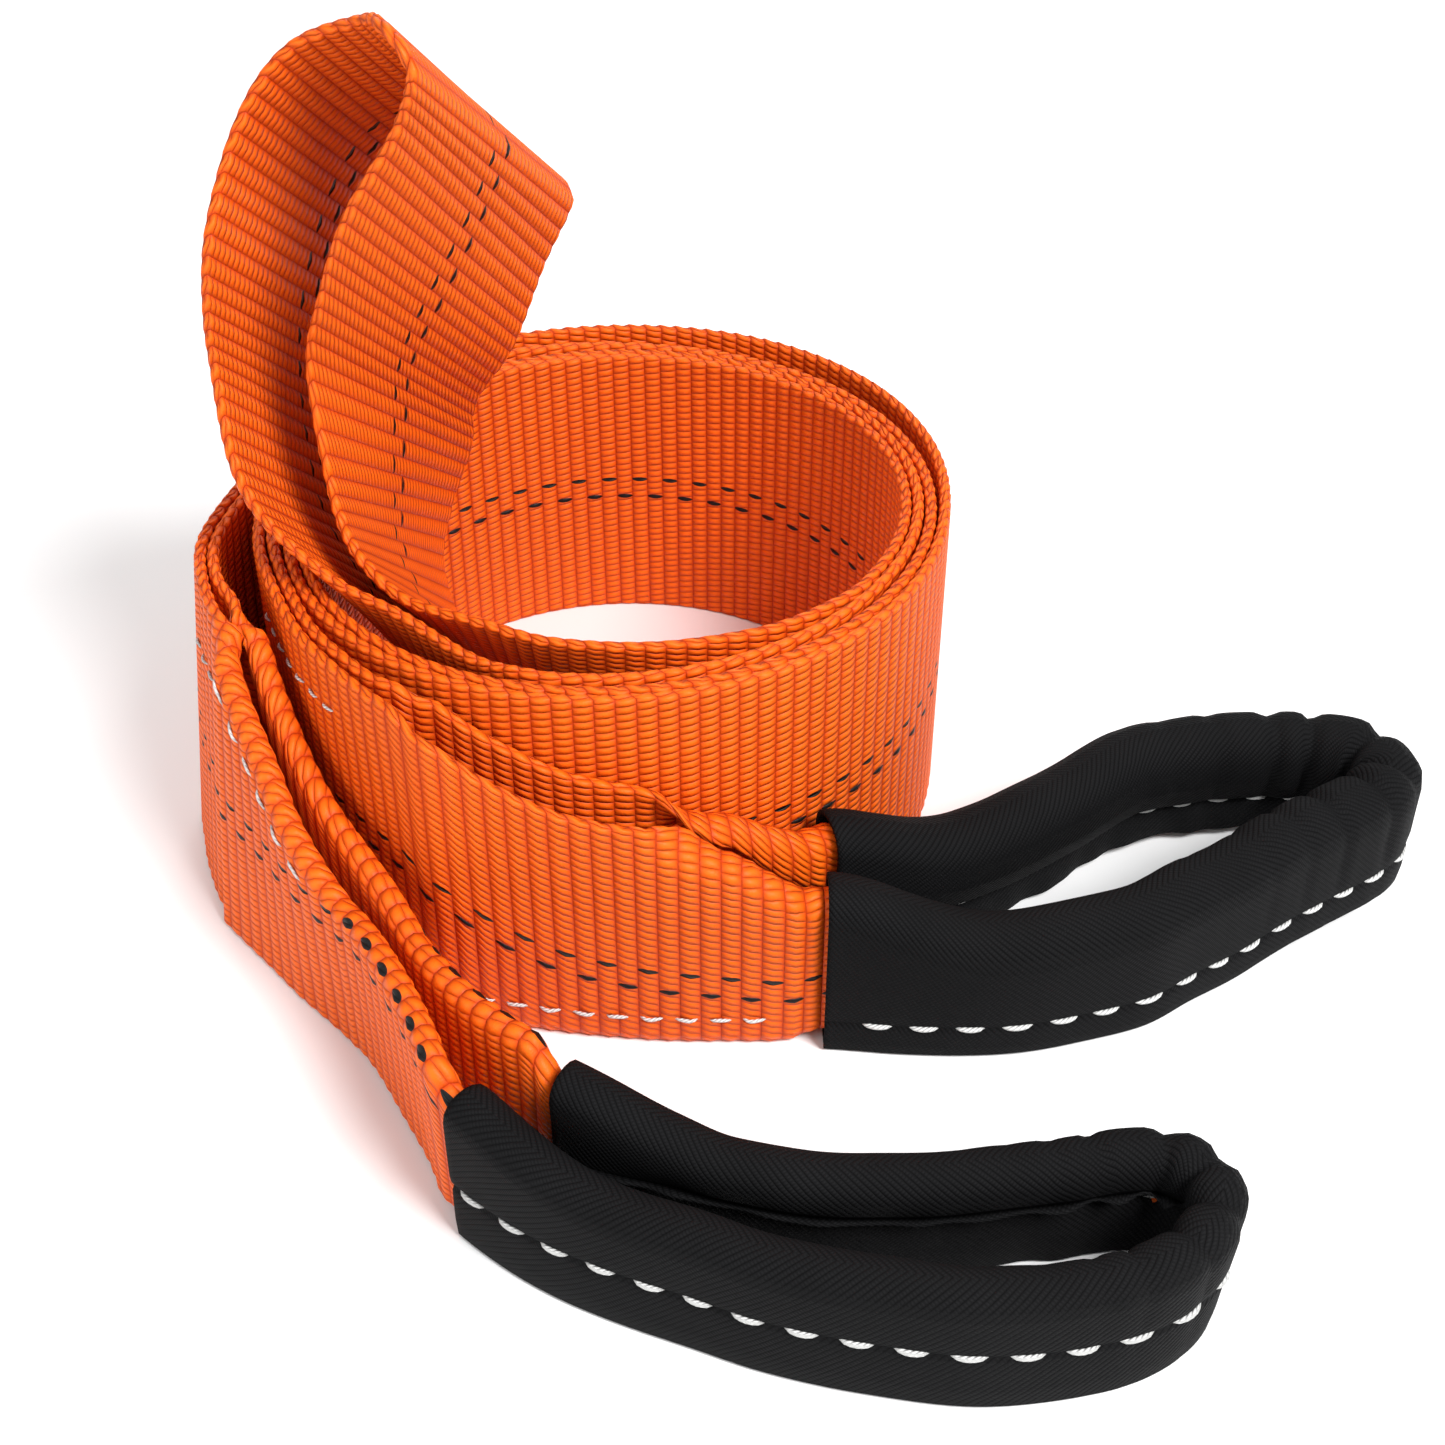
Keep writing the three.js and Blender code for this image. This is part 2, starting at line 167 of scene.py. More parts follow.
bight = stations(
    (31, -50, 1, 2, -8), (9, -44, 5, 2, -22), (-10, -29, 11, 0, -36), (-23.5, -12, 18, -3, -46),
    (-35, 4, 25, -6, -54), (-43, 16, 32, -8, -57), (-46.5, 26, 42, -10, -60), (-43.5, 31, 55, -16, -60),
    (-37, 29, 72, -24, -54), (-34, 24, 86, -22, -53), (-24, 16, 103, -24, -50), (-16, 15, 123, -20, -53),
    (-9, 14, 139, -23, -55), (-15, 20, 142, -23, -53), (-21, 31, 139, -23, -53), (-34, 38, 133, -23, -53),
    (-43, 38, 125, -23, -53), (-50, 34, 113, -23, -53), (-54, 26, 100, -23, -53), (-57, 26, 83, -23, -53),
    (-58.3, 25, 66, -22, -52), (-55, 18, 49, -22.5, -51), (-46.8, 8.5, 36, -23.5, -48),
    (-38.5, -6.5, 20, -18, -41), (-31.5, -24.5, 10, -11, -31), (-17, -50, 3, -8, -19))

backLegA = stations(
    (-50, -70, 0), (-42, -77.5, 0, 0, 0, 0, 1), (-34, -82, 0, 0, 0, 0, 4), (-24, -85.5, 0, 0, 0, 0, 9.5),
    (-8, -88.5, 0, 0, 0, 0, 16.5), (8, -88, 0, 0, 0, 0.5, 20.5), (16, -87, 0, 0, 0, 2, 20.5),
    (25, -85, 0, 0, 0, 4, 21.5), (35, -82, 0, 0, 0, 9, 22.5))
loopA = stations(
    (45, -77, 0, 0, 0, 13.5, 23.5), (56, -74, 0, 0, 0, 15.5, 23.5), (68, -69, 0, 0, 0, 19.5, 22.5),
    (85, -60, 0, 0, 0, 23.5, 22.5), (101, -49, 1, 0, 0, 23.5, 22.5), (116, -38, 2, 0, 0, 23.5, 22.5),
    (131, -33, 2, 0, 0, 23.5, 22.5), (146, -30.5, 2, 0, 0, 23.5, 22.5), (158, -31, 2, 0, 0, 23.5, 22.5),
    (168.5, -35, 3, 0, 0, 23.5, 22.5), (173.5, -44, 3, 0, 0, 23.5, 22.5), (168.5, -53, 4, 0, 0, 23.5, 22.5),
    (157, -61, 4, 0, 0, 23.5, 22.5), (143, -69.5, 3, 0, 0, 23.5, 22.5), (131, -77, 1, 0, 0, 23.5, 22.5),
    (120, -84, 1, 0, 0, 23.5, 22.5), (110, -90, 0, 0, 0, 23.5, 22.5), (98, -94, 0, 0, 0, 23.5, 22.5),
    (86, -97, 0, 0, 0, 22.5, 22.5), (74, -98, 0, 0, 0, 19.5, 22.5), (60, -98, 0, 0, 0, 15.5, 23.5),
    (45, -97, 0, 0, 0, 13.5, 23.5))
frontLegA = stations(
    (35, -98, 0, 0, 0, 9, 22.5), (26, -98, 0, 0, 0, 4, 21.5), (17, -98, 0, 0, 0, 2, 20.5),
    (8, -97.5, 0, 0, 0, 0.5, 19.5), (-8, -95.5, 0, 0, 0, 0, 16.5), (-22, -92.5, 0, 0, 0, 0, 10.5),
    (-32, -89.5, 0, 0, 0, 0, 4), (-41, -84.5, 0, 0, 0, 0, 1), (-53, -72, 0), (-65, -55, 0))

leftLegB = stations(
    (-100, -18, 0, 9, 0), (-97, -37, 0, 9, 2), (-91, -53, 0, 9, 3, 0.5), (-86, -60, 0, 8, 3, 2.5),
    (-80, -67, 0, 6, 2, 11), (-71, -77, 0, 3, 2, 19.5), (-64, -85, 0, 1, 1, 26.5),
    (-57, -92, 0, 0, 0, 32.5), (-50.5, -99, 0, 0, 0, 37.5), (-44, -108, 0, 0, 0, 38.5), (-36.5, -121, 0, 0, 0, 38.5),
    (-29.5, -133.5, 0, -1, 0, 38.5), (-26, -142, 0, -1, 0, 38.5))
loopB = stations(
    (-22.5, -148.5, 0, 0, 0, 38.5), (-11.5, -157, 0, 0, 0, 38.5), (5, -165.5, 0, 0, 0, 38.5),
    (21, -172, 0, 0, 0, 38.5), (34, -177, 0, 0, 0, 38.5), (50, -181, 0, 0, 0, 38.5),
    (69, -183.5, 0, 0, 0, 38.5), (88, -181, 0, 1, 0, 38.5), (99, -176.5, 0, 3, 0, 38.5),
    (106, -170, 0, 4, 2, 38.5), (108, -163, 0, 4, 3, 38.5), (104.5, -157.5, 0, 2, 3, 38.5),
    (97, -155.5, 0, 0, 1, 38.5), (85, -157.5, 0, 0, 0, 38.5), (61, -160.5, 0, 0, 0, 38.5),
    (41, -160.5, 0, 0, 0, 38.5), (25, -157, 0, 0, 0, 38.5), (14, -152.5, 0, 0, 0, 38.5),
    (3, -147.5, 0, 0, 0, 38.5), (-5, -143, 0, 0, 0, 38.5))
rightLegB = stations(
    (-11.5, -139, 0, 0, 0, 38.5), (-19.5, -132.5, 0, 0, 0, 38.5), (-25.5, -126.5, 0, 0, 0, 38.5),
    (-31.3, -119.5, 0, 0, 0, 38.5), (-36, -112.5, 0, 0, 0, 38), (-40.3, -105, 0, 0, 0, 37),
    (-45, -97.5, 0, 0, 0, 35), (-51.3, -89, 0, 0, 0, 32.5), (-58.5, -80, 0, 0, 0, 28.5),
    (-65.5, -72.5, 0, 1, 1, 22), (-75, -63, 0, 4, 2, 11), (-82.5, -55, 0, 7, 3, 2.5),
    (-88, -49, 0, 9, 4, 0.5))


# the route that lies beside another one, towards the inside of the coil
def besideRoute(chosen, distance):
    moved = []
    for index, point in enumerate(chosen):
        back = np.array(chosen[max(index - 1, 0)][:2])
        ahead = np.array(chosen[min(index + 1, len(chosen) - 1)][:2])
        step = (ahead - back) / np.linalg.norm(ahead - back)
        moved.append((point[0] - distance * step[1], point[1] + distance * step[0]) + tuple(point[2:]))
    return moved


tailA = coilStations(False, (coil["tailStart"], coil["spanA"][1])) + frontLegA[-1:]
tailB = coilStations(True, (coil["tailStart"], coil["spanB"][1])) + leftLegB[:2]
routeRuns = [
    ("tail", besideRoute(tailA, strap["layerPitch"])),
    ("leg", backLegA),
    ("sleeve_a", loopA),
    ("leg", frontLegA),
    ("coil", coilStations(False, coil["spanA"])[::-1]),
    ("bight", bight),
    ("coil", coilStations(True, coil["spanB"])),
    ("leg", leftLegB),
    ("sleeve_b", loopB),
    ("leg", rightLegB),
    ("tail", besideRoute(tailB, strap["layerPitch"])[::-1]),
]


# the chosen stations as a smooth row of fine ones, and where along it each chosen one lies
def fineRoute():
    chosen = np.array([point for _, points in routeRuns for point in points], float)
    padded = np.vstack([chosen[:1], chosen, chosen[-1:]])
    splits = strap["routeSplits"]
    share = np.arange(splits)[:, None] / splits
    parts = []
    for index in range(len(chosen) - 1):
        a, b, c, d = padded[index:index + 4]
        bend = 2 * a - 5 * b + 4 * c - d
        twist = 3 * b - a - 3 * c + d
        parts.append((2 * b + (c - a) * share + bend * share ** 2 + twist * share ** 3) / 2)
    dense = np.vstack(parts + [chosen[-1:]])
    middle = np.column_stack([dense[:, 0] + dense[:, 3] / 2, dense[:, 1] + dense[:, 4] / 2, dense[:, 2]])
    gone = np.concatenate([[0.0], np.cumsum(np.linalg.norm(np.diff(middle, axis=0), axis=1))])
    count = int(gone[-1] / strap["rowStep"])
    along = np.linspace(0.0, gone[-1], count + 1)
    values = np.column_stack([np.interp(along, gone, dense[:, place]) for place in range(7)])
    return values, along, gone[::splits]


rowValues, rowAlong, stationAlong = fineRoute()
print("route: %d rows, %.0f mm of webbing" % (len(rowValues), rowAlong[-1]))


# where a sleeve's run starts and ends along the strap
def runSpan(name):
    first = 0
    for runName, points in routeRuns:
        if runName == name:
            return stationAlong[first], stationAlong[first + len(points) - 1]
        first += len(points)


# where a chosen station lies along the strap, by its run's place in routeRuns and its own in the run
def stationPlace(run, station):
    first = sum(len(points) for _, points in routeRuns[:run])
    return stationAlong[first + station]


# the line across the webbing at each row: its heights, its depths and the distance from the upper edge
def sectionLines(upperFlap, lowerFlap):
    pitch = strap["layerPitch"]
    upperTurn = np.pi * smooth(upperFlap / strap["turningFlap"])
    lowerTurn = np.pi * smooth(lowerFlap / strap["turningFlap"])
    upperGap = pitch * (1 + lowerTurn / np.pi)
    lowerGap = np.full_like(upperGap, pitch)
    upper = strap["edgeStrip"] + np.maximum(0, upperFlap - strap["turningFlap"]) - 0.07 * upperGap
    lower = strap["edgeStrip"] + np.maximum(0, lowerFlap - strap["turningFlap"]) - 0.07 * lowerGap
    upperArc, lowerArc = np.pi / 2 * upperGap, np.pi / 2 * lowerGap
    face = strap["width"] - upper - lower - upperArc - lowerArc

    def foldedEnd(turn, arc, flap, bendShares, flapShares):
        safe = np.maximum(turn, 1e-4)[:, None]
        angle = safe * np.array(bendShares)[None, :]
        radius = arc[:, None] / safe
        bendUp, bendIn = radius * np.sin(angle), radius * (1 - np.cos(angle))
        reach = flap[:, None] * np.array(flapShares)[None, :]
        endUp = radius * np.sin(safe) + reach * np.cos(safe)
        endIn = radius * (1 - np.cos(safe)) + reach * np.sin(safe)
        own = np.hstack([arc[:, None] * np.array(bendShares)[None, :], arc[:, None] + reach])
        return np.hstack([bendUp, endUp]), np.hstack([bendIn, endIn]), own

    bends, flaps = [0.25, 0.5, 0.75, 1.0], [0.65, 1.0]
    upUp, upIn, upOwn = foldedEnd(upperTurn, upperArc, upper, bends, flaps)
    lowUp, lowIn, lowOwn = foldedEnd(lowerTurn, lowerArc, lower, bends, flaps)
    across = np.linspace(0.5, -0.5, 5)[None, :] * face[:, None]
    ups = np.hstack([(face[:, None] / 2 + upUp)[:, ::-1], across, -(face[:, None] / 2 + lowUp)])
    depths = np.hstack([upIn[:, ::-1], np.zeros_like(across), lowIn])
    ownUp = (upper + upperArc)[:, None]
    own = np.hstack([ownUp - upOwn[:, ::-1], ownUp + face[:, None] / 2 - across,
                     ownUp + face[:, None] + lowOwn])
    ups = ups - ups.min(axis=1, keepdims=True)
    folded = np.maximum(upperTurn, lowerTurn) / np.pi
    return ups, depths - (folded * pitch)[:, None], own


# each sleeve is a roll over a seam, with a flat flap below it; a negative shift is away from the eye
sleeves = {
    "sleeve_a": {"mouthHeight": 41.0, "bodyHeight": 31.0, "mouthDepth": 14.0, "bodyDepth": 16.0,
                 "seamHeight": 8.0, "innerSeamHeight": 9.5, "flapDepth": 10.0, "flutter": 0.9,
                 "centre": 0.0, "webbingFoot": 10.0, "webbingShift": -1.8},
    "sleeve_b": {"mouthHeight": 36.0, "bodyHeight": 28.8, "mouthDepth": 10.5, "bodyDepth": 10.7,
                 "seamHeight": 14.0, "innerSeamHeight": 16.0, "flapDepth": 7.0, "flutter": 0.5,
                 "centre": -1.2, "webbingFoot": 14.0, "webbingShift": -1.1},
}
sleeveCloth = {
    "wall": 1.1,
    "clearance": 0.4,
    "taper": 34.0,           # length over which the mouth narrows to the body
    "mouthRun": 26.0,        # length over which the seam draws the cloth together
    "approach": 9.0,         # length of webbing that is fitted before the mouth
    "settle": 12.0,          # length from the mouth over which the cloth grows uneven
    "sway": 0.35,
    "swayLength": 47.0,
    "flutterLength": 23.0,
}


def sleeveSize(name, inside):
    form = sleeves[name]
    share = smooth(inside / sleeveCloth["taper"])
    height = form["mouthHeight"] + (form["bodyHeight"] - form["mouthHeight"]) * share
    depth = form["mouthDepth"] + (form["bodyDepth"] - form["mouthDepth"]) * share
    return height, depth


# frames along the rows: foot, direction up the webbing, direction across it and the eye's side
def rowFrames():
    ups, depths, own = sectionLines(rowValues[:, 5], rowValues[:, 6])
    height = ups.max(axis=1)
    lean = rowValues[:, 3:5]
    rise = np.sqrt(height ** 2 - (lean ** 2).sum(axis=1))
    up = unit(np.column_stack([lean, rise]))
    middle = np.column_stack([rowValues[:, :2] + lean / 2, rowValues[:, 2]])
    forward = unit(np.gradient(middle, axis=0))
    across = unit(np.cross(forward, up))
    foot = np.column_stack([rowValues[:, :2], np.maximum(rowValues[:, 2], 0)])
    side = np.where(np.arange(len(rowValues)) < rowValues[:, 2].argmax(), 1.0, -1.0)
    return {"foot": foot, "up": up, "across": across, "side": side,
            "ups": ups, "depths": depths, "own": own, "height": height}


rows = rowFrames()


# in its sleeve the folded webbing is centred, and past the mouth it lies above the seam
def fitToSleeves():
    ups, depths = rows["ups"].copy(), rows["depths"].copy()
    lift = np.zeros(len(ups))
    for name, form in sleeves.items():
        start, end = runSpan(name)
        inside = np.minimum(rowAlong - start, end - rowAlong)
        near = inside > -sleeveCloth["approach"]
        entered = smooth((inside[near] + sleeveCloth["approach"]) / sleeveCloth["approach"])
        deep = smooth((inside[near] - 4) / sleeveCloth["mouthRun"])
        height, _ = sleeveSize(name, np.maximum(inside[near], 0))
        margin = sleeveCloth["wall"] + sleeveCloth["clearance"] + strap["thickness"] / 2
        low = margin + 1.0 + (form["webbingFoot"] - margin) * deep
        high = height - margin - 1.2 - 0.8 * deep
        tall = rows["height"][near]
        squeeze = 1 + (np.minimum(1, (high - low) / tall) - 1) * entered
        ups[near] = rows["ups"][near] * squeeze[:, None]
        middle = (rows["depths"][near].max(axis=1) + rows["depths"][near].min(axis=1)) / 2
        aside = (form["centre"] + form["webbingShift"]) * deep
        depths[near] = rows["depths"][near] + (aside - middle * entered)[:, None]
        lift[near] = (low - strap["thickness"] / 2) * entered
    return ups, depths, lift


# ribs: crest and groove along the strap, from -1 in a groove to 1 on a crest
def ribWave(along):
    return -np.cos(2 * np.pi * along / strap["ribPitch"])


def placeRings(ringUp, ringIn, lift):
    ring = (rows["foot"][:, None, :] + rows["up"][:, None, :] * ringUp[:, :, None]
            + rows["across"][:, None, :] * ringIn[:, :, None])
    shift = rows["foot"][:, 2] + lift - ring[:, :, 2].min(axis=1)
    return shift / rows["up"][:, 2], ring


def webbingRings():
    ups, depths, lift = fitToSleeves()
    depths = depths * rows["side"][:, None]
    stepUp, stepIn = np.gradient(ups, axis=1), np.gradient(depths, axis=1)
    length = np.hypot(stepUp, stepIn)
    normalUp, normalIn = stepIn / length, -stepUp / length
    endUp, endIn = stepUp / length, stepIn / length
    half = strap["thickness"] / 2
    own = rows["own"]
    # the ribs of the two faces lie half a rib apart
    relief = []
    for shift in (0.0, strap["ribPitch"] / 2):
        wave = (ribWave(rowAlong + shift)[:, None] + 1) / 2
        relief.append(half - strap["grooveDepth"] + (strap["grooveDepth"] + strap["ribHeight"]) * wave)
    scallop = strap["edgeScallop"] * ribWave(rowAlong)[:, None]
    edgeIn = np.ones_like(ups)
    edgeIn[:, [0, -1]] = 0.72
    front = [ups + normalUp * relief[0] * edgeIn, depths + normalIn * relief[0] * edgeIn]
    back = [ups - normalUp * relief[1] * edgeIn, depths - normalIn * relief[1] * edgeIn]
    reach = strap["edgeStand"] + scallop
    upperTip = [ups[:, :1] - endUp[:, :1] * reach, depths[:, :1] - endIn[:, :1] * reach]
    lowerTip = [ups[:, -1:] + endUp[:, -1:] * reach, depths[:, -1:] + endIn[:, -1:] * reach]
    ringUp = np.hstack([front[0], lowerTip[0], back[0][:, ::-1], upperTip[0]])
    ringIn = np.hstack([front[1], lowerTip[1], back[1][:, ::-1], upperTip[1]])
    plainUp = np.hstack([ups + normalUp * half, ups - normalUp * half])
    plainIn = np.hstack([depths + normalIn * half, depths - normalIn * half])
    shift, _ = placeRings(plainUp, plainIn, lift)
    _, ring = placeRings(ringUp, ringIn, lift)
    ring += rows["up"][:, None, :] * shift[:, None, None]
    ring[:, :, 2] = np.maximum(ring[:, :, 2], 0.0)
    halfRib = strap["ribPitch"] / 2
    columns = ups.shape[1]
    tipAlong = rowAlong[:, None] + halfRib / 2
    alongUv = np.hstack([np.repeat(rowAlong[:, None], columns, 1), tipAlong,
                         np.repeat(rowAlong[:, None] + halfRib, columns, 1), tipAlong])
    # on the second eye's legs the tracers run lower down the face
    own = own - strap["tracerDrop"] * smooth((rowAlong - stationPlace(7, 0)) / 50)[:, None]
    acrossUv = np.hstack([own, own[:, -1:] + 0.9, own[:, ::-1], own[:, :1] - 0.9])
    return ring + routeShift, np.stack([alongUv, acrossUv], axis=-1)


class Recipe:
    def __init__(self, name):
        self.material = bpy.data.materials.new(name)
        self.material.use_nodes = True
        self.tree = self.material.node_tree
        self.shader = self.tree.nodes["Principled BSDF"]

    def node(self, kind, **settings):
        made = self.tree.nodes.new(kind)
        for key, value in settings.items():
            setattr(made, key, value)
        return made

    def join(self, source, target):
        self.tree.links.new(source, target)

    def math(self, operation, *values):
        made = self.node("ShaderNodeMath", operation=operation)
        for place, value in enumerate(values):
            if hasattr(value, "is_output"):
                self.join(value, made.inputs[place])
            else:
                made.inputs[place].default_value = value
        return made.outputs[0]

    def clothPlace(self):
        place = self.node("ShaderNodeUVMap", uv_map="cloth")
        split = self.node("ShaderNodeSeparateXYZ")
        self.join(place.outputs[0], split.inputs[0])
        return split.outputs[0], split.outputs[1]

    def noise(self, scale, detail=3.0):
        place = self.node("ShaderNodeTexCoord")
        made = self.node("ShaderNodeTexNoise")
        made.inputs["Scale"].default_value = scale
        made.inputs["Detail"].default_value = detail
        self.join(place.outputs["Object"], made.inputs["Vector"])
        return made.outputs["Fac"]

    def mix(self, share, first, second):
        made = self.node("ShaderNodeMix", data_type="RGBA")
        self.join(share, made.inputs[0])
        for place, value in ((6, first), (7, second)):
            if hasattr(value, "is_output"):
                self.join(value, made.inputs[place])
            else:
                made.inputs[place].default_value = (*value, 1.0)
        return made.outputs[2]

    def bump(self, height, distance, strength=1.0):
        made = self.node("ShaderNodeBump")
        made.inputs["Strength"].default_value = strength
        made.inputs["Distance"].default_value = distance
        self.join(height, made.inputs["Height"])
        self.join(made.outputs[0], self.shader.inputs["Normal"])

    def colour(self, source):
        self.join(source, self.shader.inputs["Base Color"])

    def finish(self, values):
        self.shader.inputs["Roughness"].default_value = values["roughness"]
        self.shader.inputs["Specular IOR Level"].default_value = values["specular"]


orangeWeave = {
    # painted highlight colour on the rib crests and floats, then painted deep-red shade colour in the grooves
    "litCrest": (0.86, 0.130, 0.004),
    "shadedGroove": (0.42, 0.014, 0.001),
    "tracer": (0.006, 0.005, 0.005),
    "floatPitch": 1.78 * mm,
    "tracerRows": (35.3 * mm, 40.4 * mm),
    "tracerHalfWidth": 0.62 * mm,
    "fibreScale": 2600.0,
    "wearScale": 45.0,
    "relief": 0.95 * mm,
    "reliefStrength": 0.85,
    "roughness": 0.5,
    "specular": 0.2,
}


def makeOrangeWeave():
    recipe = Recipe("orange_webbing")
    along, across = recipe.clothPlace()
    pitch = strap["ribPitch"] * mm
    ribs = recipe.math("DIVIDE", along, pitch)
    ribShare = recipe.math("FRACT", ribs)
    parity = recipe.math("MODULO", recipe.math("FLOOR", ribs), 2.0)
    ribRound = recipe.math("SINE", recipe.math("MULTIPLY", ribShare, math.pi))
    slant = recipe.math("MULTIPLY", ribShare, 0.3)
    floats = recipe.math("ADD", recipe.math("DIVIDE", across, orangeWeave["floatPitch"]),
                         recipe.math("MULTIPLY_ADD", parity, 0.5, slant))
    floatRound = recipe.math("ABSOLUTE", recipe.math("SINE", recipe.math("MULTIPLY", floats, math.pi)))
    floatHigh = recipe.math("POWER", floatRound, 0.5)
    ribHigh = recipe.math("POWER", ribRound, 0.6)
    height = recipe.math("MULTIPLY", ribHigh, recipe.math("MULTIPLY_ADD", floatHigh, 0.8, 0.2))
    fibre = recipe.noise(orangeWeave["fibreScale"], 2.0)
    height = recipe.math("MULTIPLY_ADD", fibre, 0.12, height)
    wear = recipe.noise(orangeWeave["wearScale"], 4.0)
    # painted shade and highlight: the colour darkens into the grooves and lightens on the raised ribs and floats,
    # made uneven by random tone
    shade = recipe.math("MULTIPLY", recipe.math("POWER", height, 0.8),
                        recipe.math("MULTIPLY_ADD", wear, 0.3, 0.85))
    plain = recipe.mix(shade, orangeWeave["shadedGroove"], orangeWeave["litCrest"])
    masks = []
    for row, start in zip(orangeWeave["tracerRows"], (0.0, 0.5)):
        share = recipe.math("FRACT", recipe.math("MULTIPLY_ADD", ribs, 0.5, start))
        wave = recipe.math("SINE", recipe.math("MULTIPLY", share, 2 * math.pi))
        swell = recipe.math("MAXIMUM", wave, 0.0)
        reach = recipe.math("MULTIPLY", recipe.math("POWER", swell, 0.5), orangeWeave["tracerHalfWidth"])
        away = recipe.math("ABSOLUTE", recipe.math("SUBTRACT", across, row))
        masks.append(recipe.math("LESS_THAN", away, reach))
    tracer = recipe.math("MAXIMUM", *masks)
    recipe.colour(recipe.mix(tracer, plain, orangeWeave["tracer"]))
    recipe.bump(height, orangeWeave["relief"], orangeWeave["reliefStrength"])
    recipe.finish(orangeWeave)
    return recipe.material


blackTwill = {
    "base": (0.0022, 0.0022, 0.0024),
    # the lighter colour is partly a painted highlight on the twill ridges and partly real wear of the yarn
    "litRidgeAndWear": (0.0085, 0.0085, 0.0092),
    "twill": 1.5 * mm,
    "yarnShare": 0.6,        # of the twill's pitch
    "wearScale": 60.0,
    "relief": 0.35 * mm,
    "reliefStrength": 0.7,
    "roughness": 0.7,
    "specular": 0.07,
}


def makeBlackTwill():
    recipe = Recipe("black_sleeve_twill")
    along, around = recipe.clothPlace()
    turned = recipe.math("ABSOLUTE", around)
    lines = recipe.math("DIVIDE", recipe.math("ADD", along, turned), blackTwill["twill"])
    ridge = recipe.math("ABSOLUTE", recipe.math("SINE", recipe.math("MULTIPLY", lines, math.pi)))
    yarnPitch = blackTwill["twill"] * blackTwill["yarnShare"]
    yarns = recipe.math("DIVIDE", recipe.math("SUBTRACT", along, turned), yarnPitch)
    cross = recipe.math("ABSOLUTE", recipe.math("SINE", recipe.math("MULTIPLY", yarns, math.pi)))
    height = recipe.math("MULTIPLY", recipe.math("POWER", ridge, 0.6),
                         recipe.math("MULTIPLY_ADD", cross, 0.4, 0.6))
    wear = recipe.noise(blackTwill["wearScale"], 5.0)
    # painted highlight and shade: lighter on the raised twill ridges and darker in the hollows, made uneven by
    # random wear
    shade = recipe.math("MULTIPLY", height, recipe.math("MULTIPLY_ADD", wear, 0.8, 0.4))
    recipe.colour(recipe.mix(shade, blackTwill["base"], blackTwill["litRidgeAndWear"]))
    recipe.bump(height, blackTwill["relief"], blackTwill["reliefStrength"])
    recipe.finish(blackTwill)
    return recipe.material


whiteThread = {
    "light": (0.72, 0.72, 0.70),
    # painted shade colour for the grooves between the plies
    "plyGrooveShade": (0.30, 0.30, 0.31),
    "twist": 1.1 * mm,
    "relief": 0.3 * mm,
    "reliefStrength": 0.7,
    "roughness": 0.5,
    "specular": 0.5,
}


def makeWhiteThread():
    recipe = Recipe("white_thread")
    along, around = recipe.clothPlace()
    ply = recipe.math("DIVIDE", recipe.math("ADD", along, around), whiteThread["twist"])
    ridge = recipe.math("ABSOLUTE", recipe.math("SINE", recipe.math("MULTIPLY", ply, math.pi)))
    # painted shade: dark in the grooves between the twisted plies, the thread's own light grey on the ply ridges
    recipe.colour(recipe.mix(recipe.math("POWER", ridge, 0.5), whiteThread["plyGrooveShade"], whiteThread["light"]))
    recipe.bump(ridge, whiteThread["relief"], whiteThread["reliefStrength"])
    recipe.finish(whiteThread)
    return recipe.material


orangeMaterial = makeOrangeWeave()
blackMaterial = makeBlackTwill()
threadMaterial = makeWhiteThread()
print("materials made")


def makeWebbing():
    ring, uv = webbingRings()
    rowCount, around = ring.shape[:2]
    walls = ringWalls(rowCount, around)
    end = (rowCount - 1) * around
    # the two halves of a ring face each other, so each end is closed by a ladder of quads
    quads = np.array([(index, index + 1, around - 3 - index, around - 2 - index)
                      for index in range(around // 2 - 2)])
    tips = np.array([(around - 1, 0, around - 2), (around // 2 - 2, around // 2 - 1, around // 2)])
    faceSets = [walls, quads[:, ::-1], tips[:, ::-1], quads + end, tips + end]
    piece = makePiece("strap_webbing", ring.reshape(-1, 3), faceSets, uv.reshape(-1, 2),
                      orangeMaterial)
    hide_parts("webbing")
    return piece, ring


webbing, webbingRing = makeWebbing()
print("webbing made: %d faces" % len(webbing.data.polygons))


# columns of a sleeve's outline
outerSeamPlace, crownPlace, innerSeamPlace = 5, 13, 21


